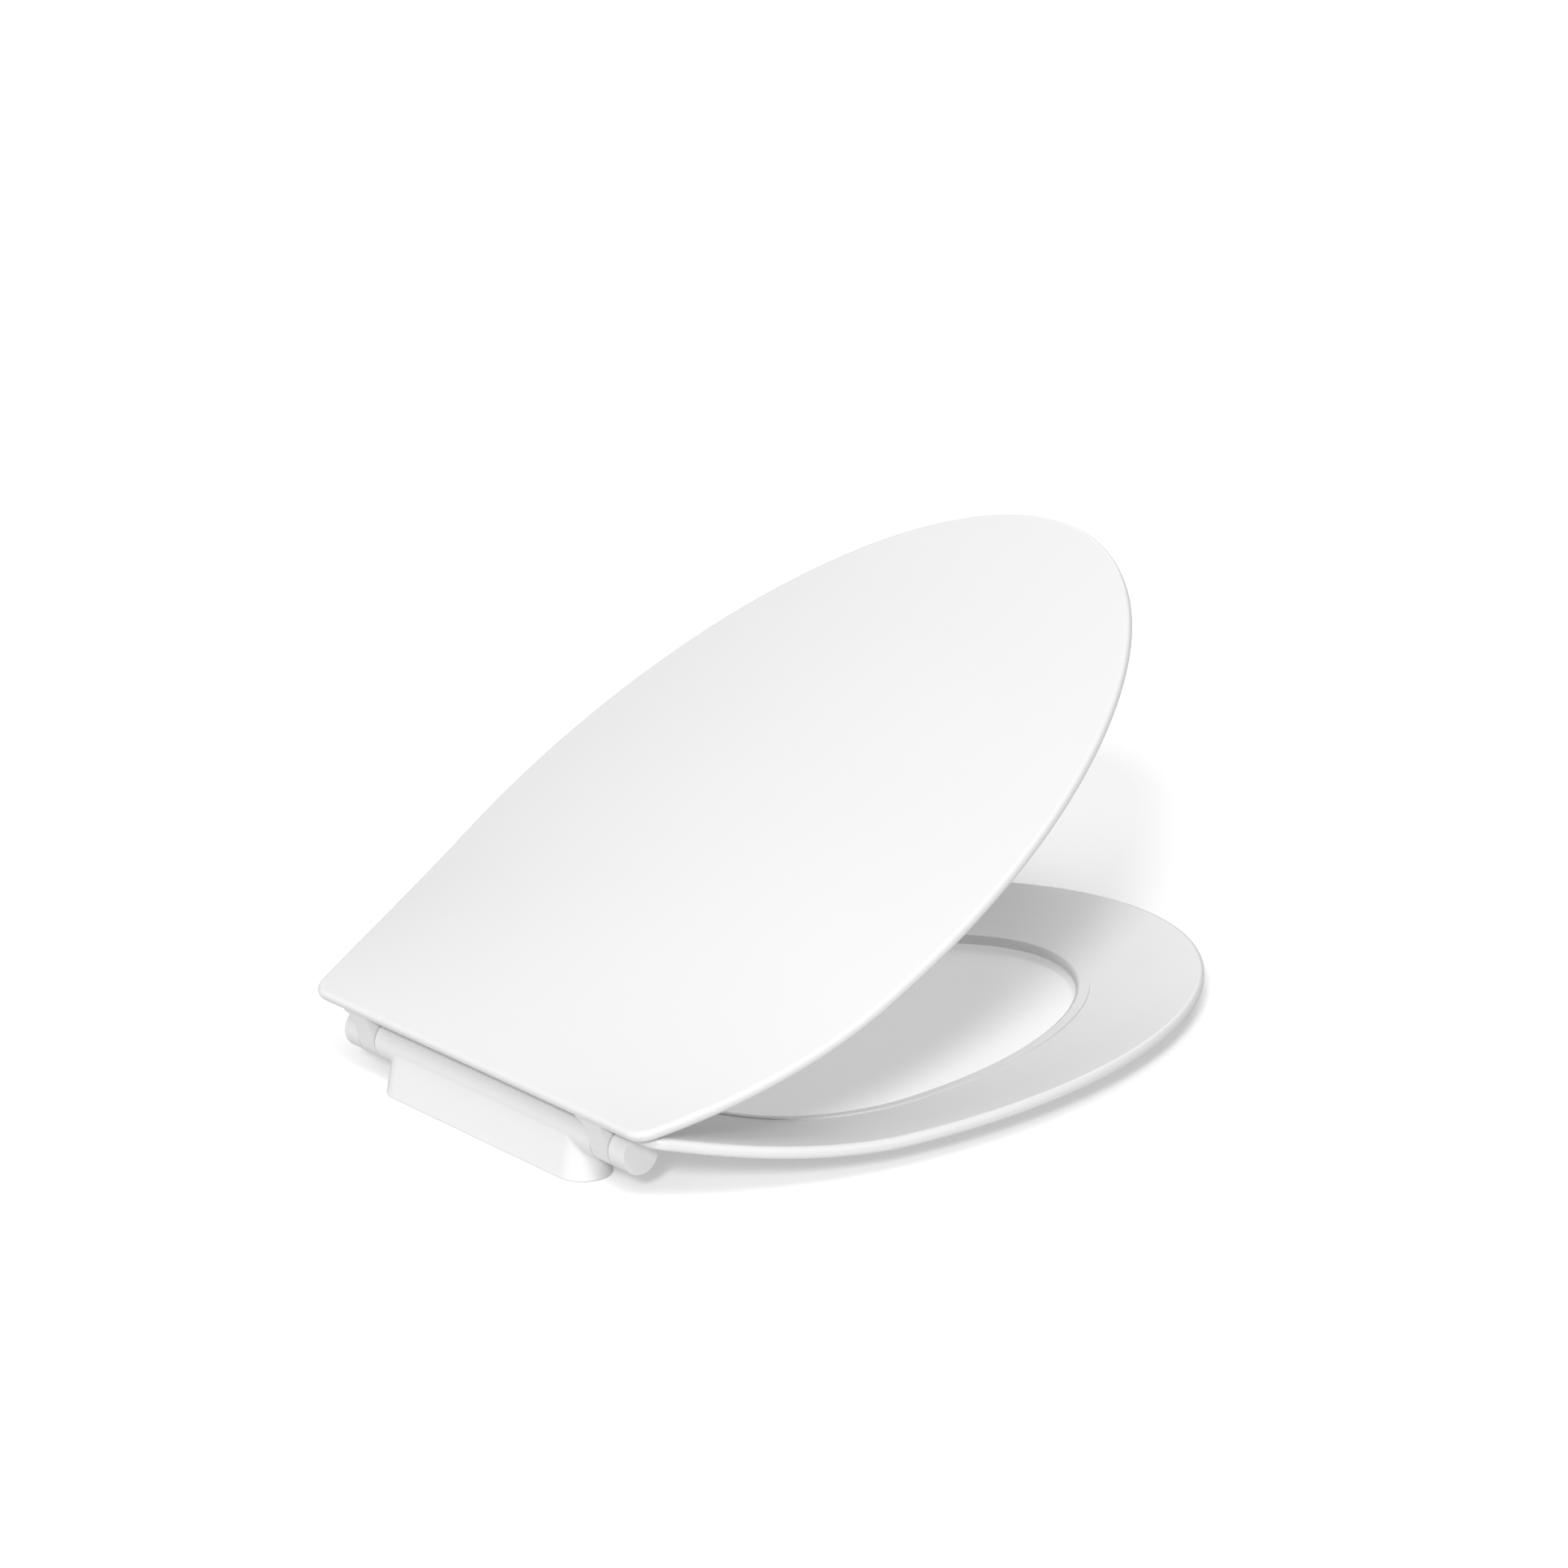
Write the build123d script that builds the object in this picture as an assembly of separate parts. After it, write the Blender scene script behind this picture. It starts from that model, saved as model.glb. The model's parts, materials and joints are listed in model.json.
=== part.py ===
from build123d import *
import math
import os

os.makedirs("parts", exist_ok=True)

# Plan outlines of the seat and the lid, y forward from the hinge axis
seat_half_width = 187.0
lid_half_width = 183.3
widest_y = 182.5
front_y = 465.2
rear_y = -5.2
rear_half_width = 143.4
corner_radius = 14.0
lid_inset = 2.2
lid_overhang = 1.3
seat_overhang = 3.7

# Hinge line
axis_height = 24.5
barrel_radius = 11.3
barrel_half_length = 93.2
side_gap = 0.8
arm_width = 13.8
ear_width = 12.4
lid_angle = 30.5

# Side view of the plates: the rear edge lies higher than the level rim
seat_rim_top = 21.1
seat_thickness = 6.8
plate_gap = 2.55
lid_thickness = 6.5
lid_lift = 21.1
seat_lift = 20.0
lift_run = 133.0
lift_power = 1.75
crown_power = 1.8
side_sag = 2.7
edge_round = 2.6
steps_across = 16
steps_along = 32
surface_tolerance = 0.02

# Seat opening and dish
opening_half_width = 115.5
opening_y = 184.0
opening_front_y = 390.0
opening_rear_y = 72.0
dish_depth = 24.0
under_dish_depth = 20.0
dish_rear_y = 7.0
lip_round = 2.2
bead_width = 8.0
bead_height = 0.8
notch_y = 19.0
notch_corner = 6.0

# Lid arms
arm_fillet = 6.0

# Foot of the housing
foot_half_length = 88.6
foot_half_depth = 15.6
foot_top_half_depth = 11.1
foot_blend = 3.5
foot_edge = 1.0
gasket_thickness = 1.5
gasket_inset = 2.5

# Fixing holes
fixing_spacing = 155.0
insert_radius = 5.0
insert_top = 13.0
thread_radius = 3.0

# Dampers inside the barrel
pocket_depth = 55.0
pocket_radius = 8.6
damper_wall = 2.0
damper_floor = 4.0
cap_thickness = 3.6
cap_recess = 0.4
seal_thickness = 1.8
drum_end_gap = 0.6
shaft_radius = 4.0
key_half_height = 3.0
spigot_radius = 3.0
bush_wall = 1.5
blind_wall = 2.0
fit_gap = 0.05

# Buffers
seat_buffer_length = 32.0
seat_buffer_width = 15.0
lid_buffer_radius = 6.5
buffer_peg_radius = 2.5
buffer_peg_length = 3.0
closed_gap = 0.1
seat_buffer_front = 320.0
seat_buffer_rear = 105.0
seat_buffer_share = 0.38
lid_buffer_front = 380.0
lid_buffer_rear = 120.0
lid_buffer_inset = 28.0

# Derived sizes
front_length = front_y - widest_y
lid_bottom = seat_rim_top + plate_gap
arm_start = barrel_half_length + side_gap
arm_end = arm_start + arm_width
ear_start = arm_end + side_gap
ear_end = ear_start + ear_width
lid_rear_bottom = lid_bottom + lid_lift - axis_height
lid_back_y = rear_y - lid_overhang
seat_back_y = rear_y - seat_overhang
margin = 4 * edge_round
tall = 4 * axis_height

hinge_plane = Plane(origin=(0, 0, axis_height), x_dir=(0, 1, 0), z_dir=(1, 0, 0))


def half_width_at(y, widest):
    """Half width of an outline at a distance forward of the hinge axis."""
    if y > widest_y:
        return widest * math.sqrt(1 - ((y - widest_y) / front_length) ** 2)
    step = widest - rear_half_width
    radius = ((widest_y - rear_y) ** 2 + step ** 2) / (2 * step)
    return widest - radius + math.sqrt(radius ** 2 - (widest_y - y) ** 2)


def rise_at(y):
    """Share of the rear edge's lift that the side edge still has."""
    run = min(1.0, max(0.0, (y - rear_y) / lift_run))
    return (1 - run) ** lift_power


def centre_drop(y):
    """Drop of the lid's middle line below the rear edge."""
    run = max(0.0, (y - rear_y) / (front_y - rear_y))
    return lid_lift * run ** crown_power


def lid_top_at(x, y):
    """Crowned top of the closed lid."""
    width = half_width_at(max(rear_y, min(y, front_y - margin)), lid_half_width)
    run = min(1.0, max(0.0, (y - rear_y) / (front_y - rear_y)))
    crown = lid_lift * (1 - rise_at(y)) - centre_drop(y) + side_sag * math.sin(math.pi * run)
    bend = max(0.0, crown) * (x / width) ** 2
    return lid_bottom + lid_thickness + lid_lift - centre_drop(y) - bend


def hollow_at(x, y):
    """Share of the full dish depth, nothing at the rim and behind the opening."""
    if y > widest_y:
        return 1 - ((y - widest_y) / front_length) ** 2 - (x / seat_half_width) ** 2
    fade = min(1.0, (widest_y - y) / (widest_y - dish_rear_y))
    return (1 - fade ** 2) * (1 - (x / half_width_at(max(rear_y, y), seat_half_width)) ** 2)


def seat_top_at(x, y):
    """Dished top of the seat, rising behind the opening."""
    return seat_rim_top + seat_lift * rise_at(y) - dish_depth * hollow_at(x, y)


def seat_under_at(x, y):
    """Underside of the seat, closer to the top at the opening than at the rim."""
    rim_under = seat_rim_top - seat_thickness
    return rim_under + seat_lift * rise_at(y) - under_dish_depth * hollow_at(x, y)


def plate_face(height_at):
    """Smooth face through heights taken on an even grid that overhangs the outline."""
    reach = seat_half_width + margin
    span = front_y - rear_y + 2 * margin
    rows = []
    for i in range(steps_across + 1):
        x = reach * (2 * i / steps_across - 1)
        row = []
        for j in range(steps_along + 1):
            y = rear_y - margin + span * j / steps_along
            row.append(Vector(x, y, height_at(x, y)))
        rows.append(row)
    return Face.make_surface_from_array_of_points(rows, tol=surface_tolerance)


def outline(widest, inset, back_y):
    """Plan outline: straight rear edge, flared sides and a half-elliptical front."""
    wide = widest - inset
    rear = half_width_at(back_y, widest) - inset
    middle_y = (widest_y + back_y) / 2
    middle = (half_width_at(middle_y, widest) - inset, middle_y)
    right = ThreePointArc((rear, back_y), middle, (wide, widest_y))
    front = EllipticalCenterArc((0, widest_y), wide, front_length - inset, start_angle=0, arc_size=180)
    left = mirror(right, about=Plane.YZ)
    back = Line((-rear, back_y), (rear, back_y))
    shape = make_face([back, right, front, left])
    corners = shape.vertices().group_by(Axis.Y)[0]
    return fillet(corners, corner_radius)


def opening_plan(grow):
    """Plan of the opening, grown all round."""
    wide = opening_half_width + grow
    front_reach = opening_front_y - opening_y + grow
    rear_reach = opening_y - opening_rear_y + grow
    front = EllipticalCenterArc((0, opening_y), wide, front_reach, start_angle=0, arc_size=180)
    rear = EllipticalCenterArc((0, opening_y), wide, rear_reach, start_angle=180, arc_size=180)
    return make_face([front, rear])


def opening_share(point):
    """Distance from the middle of the opening as a share of the way to its edge."""
    reach = opening_front_y - opening_y if point.Y > opening_y else opening_y - opening_rear_y
    return math.hypot(point.X / opening_half_width, (point.Y - opening_y) / reach)


def rod(section, start, end):
    """Bar along the hinge axis."""
    return extrude(hinge_plane.offset(start) * section, amount=end - start)


def keyed(radius, gap):
    """Round section with two flats."""
    return Circle(radius + gap) & Rectangle(4 * radius, 2 * (key_half_height + gap))


def rim_edges(plate):
    """Edges of a plate without the upright seams."""
    return [e for e in plate.edges() if abs(e.tangent_at(0.5).Z) < 0.9]


def raised(piece):
    """Turn a piece of the closed lid up to its rest angle."""
    return Pos(0, 0, axis_height) * Rot(lid_angle, 0, 0) * Pos(0, 0, -axis_height) * piece


# Seat: dished ring with a raised bead round its opening and hinge ears under its rear corners
seat_face = plate_face(seat_top_at)
under_face = plate_face(seat_under_at)
below_seat = extrude(under_face, amount=tall, dir=(0, 0, -1))
seat_slab = extrude(seat_face, amount=tall, dir=(0, 0, -1)) - below_seat
seat = seat_slab & extrude(outline(seat_half_width, 0.0, seat_back_y), amount=tall, both=True)
seat = fillet(rim_edges(seat), edge_round)
bead = extrude(Pos(0, 0, bead_height) * seat_face, amount=2 * bead_height, dir=(0, 0, -1))
bead = bead & extrude(opening_plan(bead_width), amount=tall, both=True)
seat = seat + bead - extrude(opening_plan(0.0), amount=tall, both=True)
lip_share = 1 + bead_width / (4 * opening_half_width)
lip_edges = [e for e in rim_edges(seat) if opening_share(e @ 0.5) < lip_share]
seat = fillet(lip_edges, lip_round)
notch_length = notch_y - seat_back_y + margin
notch = Pos(0, notch_y - notch_length / 2) * Rectangle(2 * (ear_start + side_gap), notch_length)
notch = fillet(notch.vertices().group_by(Axis.Y)[-1], notch_corner)
seat = seat - extrude(notch, amount=tall)
ear_top = seat_rim_top + seat_lift - seat_thickness / 2 - axis_height
ear_web = Polygon(
    (seat_back_y + edge_round, 0), (notch_y, 0), (notch_y, ear_top - edge_round),
    (seat_back_y + edge_round, ear_top), align=None)
ear = rod(Circle(barrel_radius) + ear_web, ear_start, ear_end)
ear = ear - Pos(0, 0, seat_thickness) * seat_slab
seat = seat + ear + mirror(ear, about=Plane.YZ)
bush_hole = rod(Circle(spigot_radius + bush_wall + fit_gap), ear_start - side_gap, ear_end - blind_wall)
key_hole = rod(keyed(shaft_radius, fit_gap), ear_start - side_gap, ear_end - blind_wall)
seat = seat - bush_hole - mirror(key_hole, about=Plane.YZ)

# Lid: crowned plate with two hinge arms
lid_face = plate_face(lid_top_at)
lid_slab = extrude(lid_face, amount=lid_thickness, dir=(0, 0, -1))
lid = lid_slab & extrude(outline(lid_half_width, lid_inset, lid_back_y), amount=tall)
lid = fillet(rim_edges(lid), edge_round)
arm_top = lid_rear_bottom + lid_thickness / 2
arm_reach = math.hypot(lid_back_y, lid_rear_bottom)
tangent_angle = math.atan2(lid_rear_bottom, lid_back_y) + math.acos(barrel_radius / arm_reach)
tangent_y = barrel_radius * math.cos(tangent_angle)
tangent_z = barrel_radius * math.sin(tangent_angle)
arm_side = Circle(barrel_radius) + Polygon(
    (0, 0), (barrel_radius, 0), (barrel_radius, arm_top), (lid_back_y, arm_top),
    (lid_back_y, lid_rear_bottom), (tangent_y, tangent_z), align=None)
corner = Rectangle(arm_fillet, arm_fillet, align=(Align.MAX, Align.MAX))
corner = corner - Pos(-arm_fillet, -arm_fillet) * Circle(arm_fillet)
root = Rectangle(arm_fillet, lid_thickness / 2, align=(Align.MAX, Align.MIN))
flare = corner + root


def lid_arm(start):
    """Arm of the closed lid, its left side flaring into the plate."""
    back = Pos(start + arm_width / 2, 0) * Rectangle(arm_width, 2 * arm_top)
    back = back + Pos(start, lid_rear_bottom) * flare
    back_plane = Plane(origin=(0, tall / 2, axis_height), x_dir=(1, 0, 0), z_dir=(0, -1, 0))
    blank = extrude(back_plane * back, amount=tall)
    return blank & rod(arm_side, start - arm_fillet, start + arm_width)


arms = lid_arm(arm_start) + lid_arm(-arm_end)
arms = arms - Pos(0, 0, lid_thickness / 2) * lid_slab
lid = lid + arms
lid_key_hole = rod(keyed(shaft_radius, fit_gap), arm_start - side_gap, arm_end + side_gap)
lid_bush_hole = rod(Circle(shaft_radius + bush_wall + fit_gap), arm_start - side_gap, arm_end + side_gap)
lid = lid - lid_key_hole - mirror(lid_bush_hole, about=Plane.YZ)

# Hinge housing: barrel and tapered foot in one moulding
foot_plan = SlotOverall(2 * foot_half_length, 2 * foot_half_depth)
foot_taper = math.degrees(math.atan((foot_half_depth - foot_top_half_depth) / axis_height))
foot = extrude(foot_plan, amount=axis_height, taper=foot_taper)
foot = fillet(foot.edges().group_by(Axis.Z)[0], foot_edge)
housing = foot + rod(Circle(barrel_radius), -barrel_half_length, barrel_half_length)
seam = [e for e in housing.edges() if e.geom_type == GeomType.BSPLINE]
housing = fillet(seam, foot_blend)
pocket_floor = barrel_half_length - pocket_depth
pocket = rod(Circle(pocket_radius), pocket_floor, barrel_half_length)
housing = housing - pocket - mirror(pocket, about=Plane.YZ)
gasket_plan = SlotOverall(2 * (foot_half_length - gasket_inset), 2 * (foot_half_depth - gasket_inset))
housing = housing - extrude(gasket_plan, amount=gasket_thickness)
fixing_right = Pos(fixing_spacing / 2, 0)
fixing_left = Pos(-fixing_spacing / 2, 0)
insert_hole = extrude(Circle(insert_radius), amount=insert_top)
housing = housing - fixing_right * insert_hole - fixing_left * insert_hole

# Gasket and threaded inserts under the foot
gasket_hole = extrude(Circle(thread_radius), amount=gasket_thickness)
gasket = extrude(gasket_plan, amount=gasket_thickness)
gasket = gasket - fixing_right * gasket_hole - fixing_left * gasket_hole
insert = extrude(Circle(insert_radius) - Circle(thread_radius), amount=insert_top - gasket_thickness)
insert_right = Pos(0, 0, gasket_thickness) * fixing_right * insert
insert_left = Pos(0, 0, gasket_thickness) * fixing_left * insert

# Dampers: a drum turns in grease inside a cup that is closed by a sealed cap
cup_radius = pocket_radius - fit_gap
cup_bore = cup_radius - damper_wall
cap_end = barrel_half_length - cap_recess
cap_start = cap_end - cap_thickness
cup = rod(Circle(cup_radius), pocket_floor, cap_start)
cup = cup - rod(Circle(cup_bore), pocket_floor + damper_floor, cap_start)
seal_outer = shaft_radius + seal_thickness
seal_end = cap_start + seal_thickness
cap = rod(Circle(cup_radius), cap_start, cap_end) - rod(Circle(shaft_radius + fit_gap), cap_start, cap_end)
cap = cap - rod(Circle(seal_outer), cap_start, seal_end)
seal = rod(Circle(seal_outer - fit_gap) - Circle(shaft_radius + fit_gap), cap_start, seal_end)
drum_start = pocket_floor + damper_floor + drum_end_gap
drum_end = cap_start - drum_end_gap
drum = rod(Circle(cup_bore - fit_gap), drum_start, drum_end)

# Shafts: the lid's is keyed in the right arm, the seat's in the left ear
shaft_end = ear_end - blind_wall - side_gap
lid_rotor = drum + rod(Circle(shaft_radius), drum_end, arm_start)
lid_rotor = lid_rotor + rod(keyed(shaft_radius, 0.0), arm_start, arm_end)
lid_rotor = lid_rotor + rod(Circle(spigot_radius), arm_end, shaft_end)
seat_rotor = drum + rod(Circle(shaft_radius), drum_end, ear_start)
seat_rotor = seat_rotor + rod(keyed(shaft_radius, 0.0), ear_start, shaft_end)
ear_ring = Circle(spigot_radius + bush_wall) - Circle(spigot_radius + fit_gap)
ear_bush = rod(ear_ring, ear_start, ear_end - blind_wall)
arm_ring = Circle(shaft_radius + bush_wall) - Circle(shaft_radius + fit_gap)
arm_bush = rod(arm_ring, arm_start, arm_end)

# Buffers under the seat, cut to its underside and pegged into it
above_seat = extrude(under_face, amount=tall, dir=(0, 0, 1))
seat_buffers = {}
for end, y in (("front", seat_buffer_front), ("rear", seat_buffer_rear)):
    reach = opening_front_y - opening_y if y > opening_y else opening_y - opening_rear_y
    inner = opening_half_width * math.sqrt(max(0.0, 1 - ((y - opening_y) / reach) ** 2))
    x = inner + seat_buffer_share * (half_width_at(y, seat_half_width) - inner)
    pad = extrude(Pos(x, y) * SlotOverall(seat_buffer_length, seat_buffer_width, rotation=90), amount=tall)
    pad = pad - above_seat
    under = seat_under_at(x, y)
    peg = Pos(x, y, under / 2) * extrude(Circle(buffer_peg_radius), amount=under / 2 + buffer_peg_length)
    seat_buffers[end] = pad + peg
    seat = seat - peg - mirror(peg, about=Plane.YZ)

# Buffers under the lid, reaching the seat's rim when the lid is closed
above_lid = extrude(Pos(0, 0, -lid_thickness) * lid_face, amount=tall, dir=(0, 0, 1))
below_seat_top = extrude(Pos(0, 0, closed_gap) * seat_face, amount=tall, dir=(0, 0, -1))
lid_buffers = {}
for end, y in (("front", lid_buffer_front), ("rear", lid_buffer_rear)):
    x = half_width_at(y, lid_half_width) - lid_buffer_inset
    pad = extrude(Pos(x, y) * Circle(lid_buffer_radius), amount=tall)
    pad = pad - above_lid - below_seat_top
    under = lid_top_at(x, y) - lid_thickness
    middle = (under + seat_top_at(x, y)) / 2
    peg = Pos(x, y, middle) * extrude(Circle(buffer_peg_radius), amount=under - middle + buffer_peg_length)
    lid_buffers[end] = pad + peg
    lid = lid - peg - mirror(peg, about=Plane.YZ)

# One file for each piece, the lid's pieces turned up to the rest angle
nodes = {
    "hinge_housing": housing,
    "foot_gasket": gasket,
    "fixing_insert_right": insert_right,
    "fixing_insert_left": insert_left,
    "lid_damper_body": cup,
    "lid_damper_cap": cap,
    "lid_damper_seal": seal,
    "lid_damper_rotor": raised(lid_rotor),
    "seat_damper_body": mirror(cup, about=Plane.YZ),
    "seat_damper_cap": mirror(cap, about=Plane.YZ),
    "seat_damper_seal": mirror(seal, about=Plane.YZ),
    "seat_damper_rotor": mirror(seat_rotor, about=Plane.YZ),
    "seat": seat,
    "seat_ear_bush": ear_bush,
    "seat_buffer_front_right": seat_buffers["front"],
    "seat_buffer_front_left": mirror(seat_buffers["front"], about=Plane.YZ),
    "seat_buffer_rear_right": seat_buffers["rear"],
    "seat_buffer_rear_left": mirror(seat_buffers["rear"], about=Plane.YZ),
    "lid": raised(lid),
    "lid_arm_bush": raised(mirror(arm_bush, about=Plane.YZ)),
    "lid_buffer_front_right": raised(lid_buffers["front"]),
    "lid_buffer_front_left": raised(mirror(lid_buffers["front"], about=Plane.YZ)),
    "lid_buffer_rear_right": raised(lid_buffers["rear"]),
    "lid_buffer_rear_left": raised(mirror(lid_buffers["rear"], about=Plane.YZ)),
}
for name, piece in nodes.items():
    export_step(piece, f"parts/{name}.step")
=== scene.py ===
import json
import math
import bpy
import bmesh
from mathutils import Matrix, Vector


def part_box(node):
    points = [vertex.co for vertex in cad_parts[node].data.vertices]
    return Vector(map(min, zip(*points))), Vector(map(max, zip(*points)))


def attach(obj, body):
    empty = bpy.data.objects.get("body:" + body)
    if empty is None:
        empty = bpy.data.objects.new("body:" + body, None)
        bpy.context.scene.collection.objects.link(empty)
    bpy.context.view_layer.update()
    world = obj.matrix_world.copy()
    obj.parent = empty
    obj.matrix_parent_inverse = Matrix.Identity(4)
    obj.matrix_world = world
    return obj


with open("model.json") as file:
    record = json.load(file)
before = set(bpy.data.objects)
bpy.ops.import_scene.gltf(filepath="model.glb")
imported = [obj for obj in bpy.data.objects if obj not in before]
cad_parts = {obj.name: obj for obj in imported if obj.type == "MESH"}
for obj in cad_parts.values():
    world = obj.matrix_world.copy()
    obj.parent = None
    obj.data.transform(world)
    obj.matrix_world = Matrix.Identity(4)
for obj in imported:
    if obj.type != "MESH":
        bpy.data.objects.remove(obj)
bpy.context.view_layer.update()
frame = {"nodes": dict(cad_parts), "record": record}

scene = bpy.context.scene

# Values that the finishes share
noise_detail = 3.0
noise_roughness = 0.5
noise_low = 0.3
noise_high = 0.7
plastic_ior = 1.5
plastic_gloss_ratio = 6.0
metal_scale = 120.0
metal_gloss_ratio = 3.0
grain_depth = 0.0004
fine_grain_scale = 360.0


# Helpers for node materials
def grey(value):
    """Neutral tone."""
    return (value, value, value)


def new_material(name):
    """Material with one Principled shader."""
    material = bpy.data.materials.new(name)
    material.use_nodes = True
    tree = material.node_tree
    tree.nodes.clear()
    out = tree.nodes.new("ShaderNodeOutputMaterial")
    shader = tree.nodes.new("ShaderNodeBsdfPrincipled")
    tree.links.new(shader.outputs["BSDF"], out.inputs["Surface"])
    return material, tree, shader


def noise(tree, scale):
    """Noise on the piece's own coordinates."""
    coords = tree.nodes.new("ShaderNodeTexCoord")
    tex = tree.nodes.new("ShaderNodeTexNoise")
    tex.inputs["Scale"].default_value = scale
    tex.inputs["Detail"].default_value = noise_detail
    tex.inputs["Roughness"].default_value = noise_roughness
    tree.links.new(coords.outputs["Object"], tex.inputs["Vector"])
    return tex.outputs["Fac"]


def ramp(tree, fac, low, high):
    """Colour between two tones."""
    node = tree.nodes.new("ShaderNodeValToRGB")
    node.color_ramp.elements[0].position = noise_low
    node.color_ramp.elements[0].color = (*low, 1.0)
    node.color_ramp.elements[1].position = noise_high
    node.color_ramp.elements[1].color = (*high, 1.0)
    tree.links.new(fac, node.inputs["Fac"])
    return node.outputs["Color"]


def span(tree, fac, low, high):
    """Number between two limits."""
    node = tree.nodes.new("ShaderNodeMapRange")
    node.inputs["From Min"].default_value = noise_low
    node.inputs["From Max"].default_value = noise_high
    node.inputs["To Min"].default_value = low
    node.inputs["To Max"].default_value = high
    tree.links.new(fac, node.inputs["Value"])
    return node.outputs["Result"]


def grain(tree, shader, scale, strength):
    """Fine relief of the surface."""
    node = tree.nodes.new("ShaderNodeBump")
    node.inputs["Strength"].default_value = strength
    node.inputs["Distance"].default_value = grain_depth
    tree.links.new(noise(tree, scale), node.inputs["Height"])
    tree.links.new(node.outputs["Normal"], shader.inputs["Normal"])


def plastic(name, low, high, rough_low, rough_high, scale, bump=0.0, bump_scale=fine_grain_scale):
    """Moulded plastic or rubber."""
    material, tree, shader = new_material(name)
    tone = ramp(tree, noise(tree, scale), low, high)
    gloss = span(tree, noise(tree, scale * plastic_gloss_ratio), rough_low, rough_high)
    tree.links.new(tone, shader.inputs["Base Color"])
    tree.links.new(gloss, shader.inputs["Roughness"])
    shader.inputs["IOR"].default_value = plastic_ior
    if bump:
        grain(tree, shader, bump_scale, bump)
    return material


def metal(name, low, high, rough_low, rough_high):
    """Turned metal."""
    material, tree, shader = new_material(name)
    tone = ramp(tree, noise(tree, metal_scale), low, high)
    gloss = span(tree, noise(tree, metal_scale * metal_gloss_ratio), rough_low, rough_high)
    tree.links.new(tone, shader.inputs["Base Color"])
    tree.links.new(gloss, shader.inputs["Roughness"])
    shader.inputs["Metallic"].default_value = 1.0
    return material


# Finishes: low and high tone, low and high roughness, scale of the pattern, strength of the grain
moulding = (grey(0.797), grey(0.803), 0.29, 0.33, 9.0, 0.012)
moulding_grain_scale = 90.0
plastics = {
    "buffer_rubber": ((0.68, 0.68, 0.66), (0.72, 0.72, 0.70), 0.5, 0.6, 40.0, 0.15),
    "gasket_rubber": ((0.10, 0.10, 0.105), (0.13, 0.13, 0.135), 0.55, 0.65, 60.0, 0.2),
    "seal_rubber": (grey(0.012), grey(0.02), 0.4, 0.5, 80.0, 0.1),
    "bush_plastic": ((0.60, 0.59, 0.54), (0.66, 0.65, 0.60), 0.4, 0.5, 30.0),
    "damper_plastic": ((0.035, 0.037, 0.042), (0.05, 0.052, 0.058), 0.45, 0.55, 40.0, 0.1),
}
metals = {
    "rotor_steel": ((0.50, 0.51, 0.53), (0.60, 0.61, 0.62), 0.25, 0.35),
    "insert_brass": ((0.70, 0.52, 0.24), (0.78, 0.60, 0.30), 0.25, 0.38),
}
white = plastic("white_moulding", *moulding, moulding_grain_scale)
looks = {slot: white for slot in ("lid_moulding", "seat_moulding", "hinge_housing_moulding")}
for slot, values in plastics.items():
    looks[slot] = plastic(slot, *values)
for slot, values in metals.items():
    looks[slot] = metal(slot, *values)
for piece in frame["record"]["subparts"]:
    node = frame["nodes"][piece["node"]]
    node.data.materials.clear()
    node.data.materials.append(looks[piece["material_slot"]])

# Threads in the bores of the two fixing inserts
bore_radius = 0.003
thread_depth = 0.0004
thread_root = 0.00005
thread_pitch = 0.001
thread_rib = 0.0008
steps_a_turn = 24
merge_distance = 1e-7
for side in ("left", "right"):
    low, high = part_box("fixing_insert_" + side)
    middle_x = (low[0] + high[0]) / 2
    middle_y = (low[1] + high[1]) / 2
    root_x = middle_x + bore_radius + thread_root
    crest_x = middle_x + bore_radius - thread_depth
    turns = math.floor((high[2] - low[2] - thread_rib) / thread_pitch)
    bm = bmesh.new()
    corners = [
        bm.verts.new((root_x, middle_y, low[2])),
        bm.verts.new((crest_x, middle_y, low[2] + thread_rib / 2)),
        bm.verts.new((root_x, middle_y, low[2] + thread_rib)),
    ]
    section = bm.faces.new(corners)
    bmesh.ops.spin(
        bm, geom=[section], cent=(middle_x, middle_y, 0.0), axis=(0.0, 0.0, 1.0),
        dvec=(0.0, 0.0, thread_pitch / steps_a_turn), angle=2 * math.pi * turns,
        steps=turns * steps_a_turn)
    bmesh.ops.remove_doubles(bm, verts=bm.verts[:], dist=merge_distance)
    bmesh.ops.recalc_face_normals(bm, faces=bm.faces[:])
    mesh = bpy.data.meshes.new("fixing_thread_" + side)
    bm.to_mesh(mesh)
    bm.free()
    mesh.materials.append(looks["insert_brass"])
    thread = bpy.data.objects.new("fixing_thread_" + side, mesh)
    scene.collection.objects.link(thread)
    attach(thread, "housing")

# Floor: seen as white, with a weaker bounce onto the plastic
floor_half_size = 12.0
floor_noise_scale = 3.0
floor_low = grey(0.948)
floor_high = grey(0.952)
floor_bounce = grey(0.5)
floor_roughness = 0.9
floor_glow = 0.22
mesh = bpy.data.meshes.new("floor")
bm = bmesh.new()
bmesh.ops.create_grid(bm, x_segments=1, y_segments=1, size=floor_half_size)
bm.to_mesh(mesh)
bm.free()
floor = bpy.data.objects.new("floor", mesh)
scene.collection.objects.link(floor)
material, tree, shader = new_material("floor_white")
seen = ramp(tree, noise(tree, floor_noise_scale), floor_low, floor_high)
path = tree.nodes.new("ShaderNodeLightPath")
blend = tree.nodes.new("ShaderNodeMixRGB")
blend.inputs["Color1"].default_value = (*floor_bounce, 1.0)
tree.links.new(seen, blend.inputs["Color2"])
tree.links.new(path.outputs["Is Camera Ray"], blend.inputs["Fac"])
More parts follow.
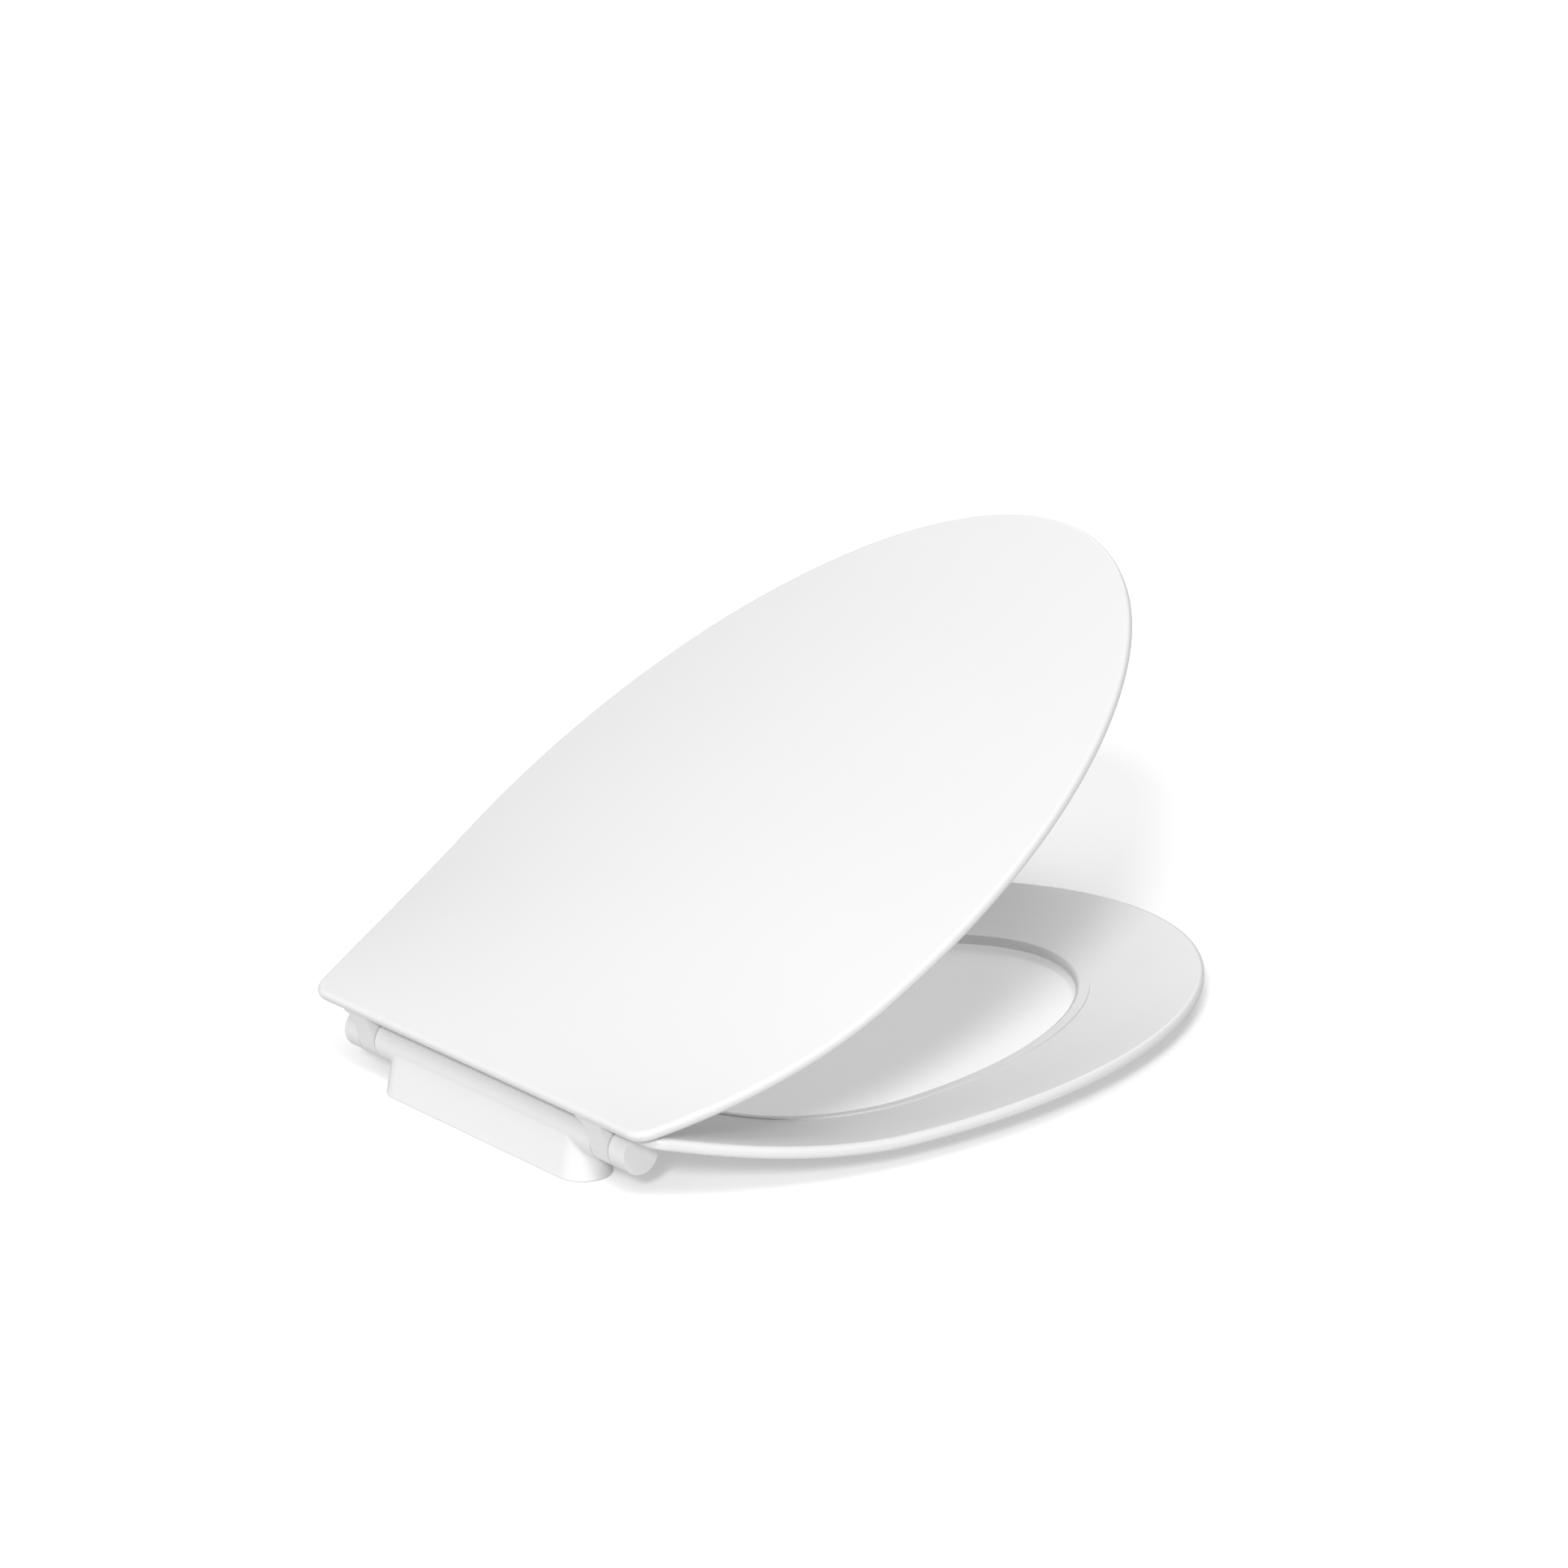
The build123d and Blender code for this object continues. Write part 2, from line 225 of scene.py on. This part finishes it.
tree.links.new(blend.outputs["Color"], shader.inputs["Base Color"])
shader.inputs["Roughness"].default_value = floor_roughness
shader.inputs["Specular IOR Level"].default_value = 0.0
shader.inputs["Emission Color"].default_value = (1.0, 1.0, 1.0, 1.0)
shader.inputs["Emission Strength"].default_value = floor_glow
mesh.materials.append(material)

# Studio light: an even surround, seen as white, and four soft lights
surround = 0.36
world = bpy.data.worlds.new("studio")
scene.world = world
world.use_nodes = True
tree = world.node_tree
background = tree.nodes["Background"]
background.inputs["Color"].default_value = (1.0, 1.0, 1.0, 1.0)
path = tree.nodes.new("ShaderNodeLightPath")
shown = tree.nodes.new("ShaderNodeMath")
shown.operation = "MAXIMUM"
shown.inputs[1].default_value = surround
tree.links.new(path.outputs["Is Camera Ray"], shown.inputs[0])
tree.links.new(shown.outputs["Value"], background.inputs["Strength"])

# Each soft light: azimuth (0 is behind the hinge), elevation and spread in degrees, and strength
soft_lights = {
    "key": (40.0, 30.0, 9.0, 1.56),
    "side_high": (61.0, 54.0, 15.0, 0.56),
    "rear_high": (20.0, 60.0, 37.0, 0.8),
    "front_fill": (225.0, 30.0, 37.0, 0.38),
}
for name, (azimuth, elevation, spread, strength) in soft_lights.items():
    turn = math.radians(azimuth)
    rise = math.radians(elevation)
    away = Vector((math.sin(turn) * math.cos(rise), -math.cos(turn) * math.cos(rise), math.sin(rise)))
    lamp = bpy.data.lights.new(name, "SUN")
    lamp.angle = math.radians(spread)
    lamp.energy = strength
    light = bpy.data.objects.new(name, lamp)
    light.rotation_euler = (-away).to_track_quat("-Z", "Y").to_euler()
    scene.collection.objects.link(light)

# The front fill lights the part only and leaves no shadow of its own on the floor
part_only = bpy.data.collections.new("part_only")
part_only.objects.link(floor)
part_only.collection_objects[0].light_linking.link_state = "EXCLUDE"
bpy.data.objects["front_fill"].light_linking.receiver_collection = part_only

# Camera: place in metres, angles in degrees, lens and sensor in millimetres
camera_place = (1.9087, -1.4168, 0.9524)
camera_down = 17.792
camera_turn = 49.790
camera_lens = 111.6
camera_sensor = 36.0
camera_data = bpy.data.cameras.new("camera")
camera_data.lens = camera_lens
camera_data.sensor_width = camera_sensor
camera = bpy.data.objects.new("camera", camera_data)
camera.location = camera_place
camera.rotation_euler = (math.radians(90 - camera_down), 0.0, math.radians(camera_turn))
scene.collection.objects.link(camera)
scene.camera = camera

# Plain view of the light, without a film look
scene.view_settings.view_transform = "Standard"
scene.view_settings.look = "None"
